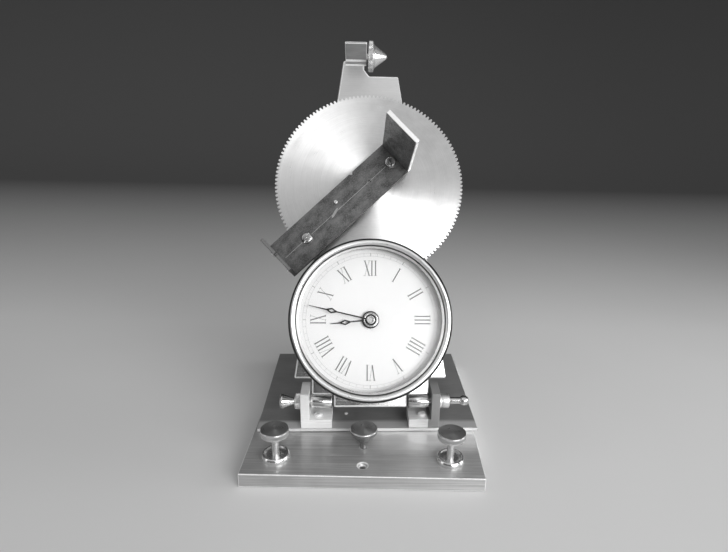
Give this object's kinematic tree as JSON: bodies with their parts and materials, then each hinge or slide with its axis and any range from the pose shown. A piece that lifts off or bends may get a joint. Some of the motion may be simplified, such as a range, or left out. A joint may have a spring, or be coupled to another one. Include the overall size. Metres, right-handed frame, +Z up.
{
  "type": "sun clock",
  "caption": "Drum clock that drives a large toothed wheel with a sighting bar and vanes, on a tilting plate over an azimuth turntable and a levelled base slab.",
  "frame": {"origin": "centre of the base slab's underside", "axes": "+Z up, +Y to the back, +X to the right as the dial is faced"},
  "size_m": [0.1084, 0.1199, 0.1859],
  "materials": {
    "nickel": "brushed nickel silver",
    "turntable": "dull nickel silver",
    "turned": "turned and lacquered",
    "wheel": "circularly brushed",
    "alidade": "dark polished steel with worn edges",
    "screws": "turned steel",
    "movement": "grained brass",
    "arbors": "polished steel",
    "hands": "blued black",
    "enamel": "white enamel",
    "glass": "clear"
  },
  "bodies": {
    "base": {"base_slab": "nickel", "level_bushes": "turned", "turntable_pivot": "screws", "thrust_washer": "screws"},
    "levelling_left": {"level_screw_left": "turned"},
    "levelling_right": {"level_screw_right": "turned"},
    "hold_down": {"hold_down_screw": "turned"},
    "turntable": {"turntable_plate": "turntable", "bracket_left": "nickel", "bracket_right": "nickel", "bracket_screws": "screws", "lock_nut_left": "turned", "collar_nut_right": "turned"},
    "pivot_left": {"pivot_screw_left": "turned"},
    "pivot_right": {"pivot_screw_right": "turned"},
    "carrier": {"carrier_plate": "nickel", "hinge_barrel": "nickel", "top_lug": "nickel", "wheel_stud": "screws", "stud_washer": "screws", "stud_screw": "screws", "drum_pillars": "screws", "drum_screws": "screws", "drum_case": "nickel", "case_back": "nickel", "movement_spacers": "movement", "rear_train_plate": "movement", "front_train_plate": "movement", "train_posts": "movement", "train_screws": "screws", "bezel": "turned", "glass": "glass", "dial": "enamel", "escapement_platform": "movement"},
    "top_clamp": {"top_thumbscrew": "turned"},
    "wheel": {"day_wheel": "wheel", "alidade_spacers": "turned", "alidade_bar": "alidade", "alidade_screws": "screws", "alidade_pin": "screws", "head_vane": "alidade", "tail_vane": "alidade", "vane_screws": "screws"},
    "center": {"center_arbor": "arbors", "center_wheel": "movement", "drive_wheel": "movement", "cannon_pinion": "arbors", "minute_hand": "hands", "hand_nut": "screws"},
    "hour": {"hour_wheel": "movement", "hour_hand": "hands"},
    "minute_work": {"minute_wheel": "movement"},
    "takeoff": {"takeoff_arbor": "arbors", "takeoff_wheel": "movement"},
    "spring_barrel": {"barrel": "movement", "barrel_cover": "movement", "mainspring": "arbors"},
    "winding": {"winding_arbor": "arbors", "winding_key": "screws"},
    "balance_wheel": {"balance": "movement"}
  },
  "joints": [
    {"name": "azimuth", "type": "hinge", "parent": "base", "child": "turntable", "pos_m": [0, 0.016, 0], "axis": [0, 0, 1], "range_deg": [-12.5, 7.5]},
    {"name": "tilt", "type": "hinge", "parent": "turntable", "child": "carrier", "pos_m": [0.00144, -0.01697, 0.01925], "axis": [-0.999, -0.0436, 0], "range_deg": [-25, 45]},
    {"name": "pivot_left_turn", "type": "hinge", "parent": "turntable", "child": "pivot_left", "pos_m": [0.00144, -0.01697, 0.01925], "axis": [0.999, 0.0436, 0], "continuous": true},
    {"name": "pivot_right_turn", "type": "hinge", "parent": "turntable", "child": "pivot_right", "pos_m": [0.00144, -0.01697, 0.01925], "axis": [0.999, 0.0436, 0], "continuous": true},
    {"name": "wheel_turn", "type": "hinge", "parent": "carrier", "child": "wheel", "pos_m": [-0.0005, 0.02736, 0.11441], "axis": [-0.0395, 0.9054, -0.4226], "range_deg": [-5, 270]},
    {"name": "takeoff_turn", "type": "hinge", "parent": "carrier", "child": "takeoff", "pos_m": [0.00042, 0.00643, 0.06949], "axis": [-0.0395, 0.9054, -0.4226], "range_deg": [-3240, 60]},
    {"name": "center_turn", "type": "hinge", "parent": "carrier", "child": "center", "pos_m": [0.00075, -0.00118, 0.05314], "axis": [-0.0395, 0.9054, -0.4226], "range_deg": [-120, 6480]},
    {"name": "hour_turn", "type": "hinge", "parent": "carrier", "child": "hour", "pos_m": [0.00075, -0.00118, 0.05314], "axis": [-0.0395, 0.9054, -0.4226], "range_deg": [-10, 540]},
    {"name": "minute_work_turn", "type": "hinge", "parent": "carrier", "child": "minute_work", "pos_m": [0.00425, 0.00162, 0.05882], "axis": [-0.0395, 0.9054, -0.4226], "range_deg": [-2160, 40]},
    {"name": "barrel_turn", "type": "hinge", "parent": "carrier", "child": "spring_barrel", "pos_m": [-0.00947, -0.00604, 0.04369], "axis": [-0.0395, 0.9054, -0.4226], "range_deg": [-1080, 20]},
    {"name": "winding_turn", "type": "hinge", "parent": "carrier", "child": "winding", "pos_m": [-0.00947, -0.00604, 0.04369], "axis": [-0.0395, 0.9054, -0.4226], "range_deg": [0, 1620]},
    {"name": "balance_swing", "type": "hinge", "parent": "carrier", "child": "balance_wheel", "pos_m": [-0.00155, 0.0057, 0.06809], "axis": [-0.0395, 0.9054, -0.4226], "range_deg": [-200, 200], "stiffness_Nm_per_rad": 0.000002},
    {"name": "top_clamp_turn", "type": "hinge", "parent": "carrier", "child": "top_clamp", "pos_m": [-0.00175, 0.05601, 0.17828], "axis": [0.999, 0.0436, 0], "continuous": true},
    {"name": "level_left", "type": "slide", "parent": "base", "child": "levelling_left", "axis": [0, 0, 1], "range_m": [-0.005, 0.002]},
    {"name": "level_right", "type": "slide", "parent": "base", "child": "levelling_right", "axis": [0, 0, 1], "range_m": [-0.005, 0.002]},
    {"name": "hold_down_turn", "type": "hinge", "parent": "base", "child": "hold_down", "pos_m": [0, -0.0354, 0], "axis": [0, 0, 1], "continuous": true}
  ],
  "couplings": [
    {"joint": "takeoff_turn", "follows": "wheel_turn", "ratio": -12},
    {"joint": "center_turn", "follows": "wheel_turn", "ratio": 24},
    {"joint": "hour_turn", "follows": "wheel_turn", "ratio": 2},
    {"joint": "minute_work_turn", "follows": "wheel_turn", "ratio": -8},
    {"joint": "barrel_turn", "follows": "wheel_turn", "ratio": -4}
  ]
}
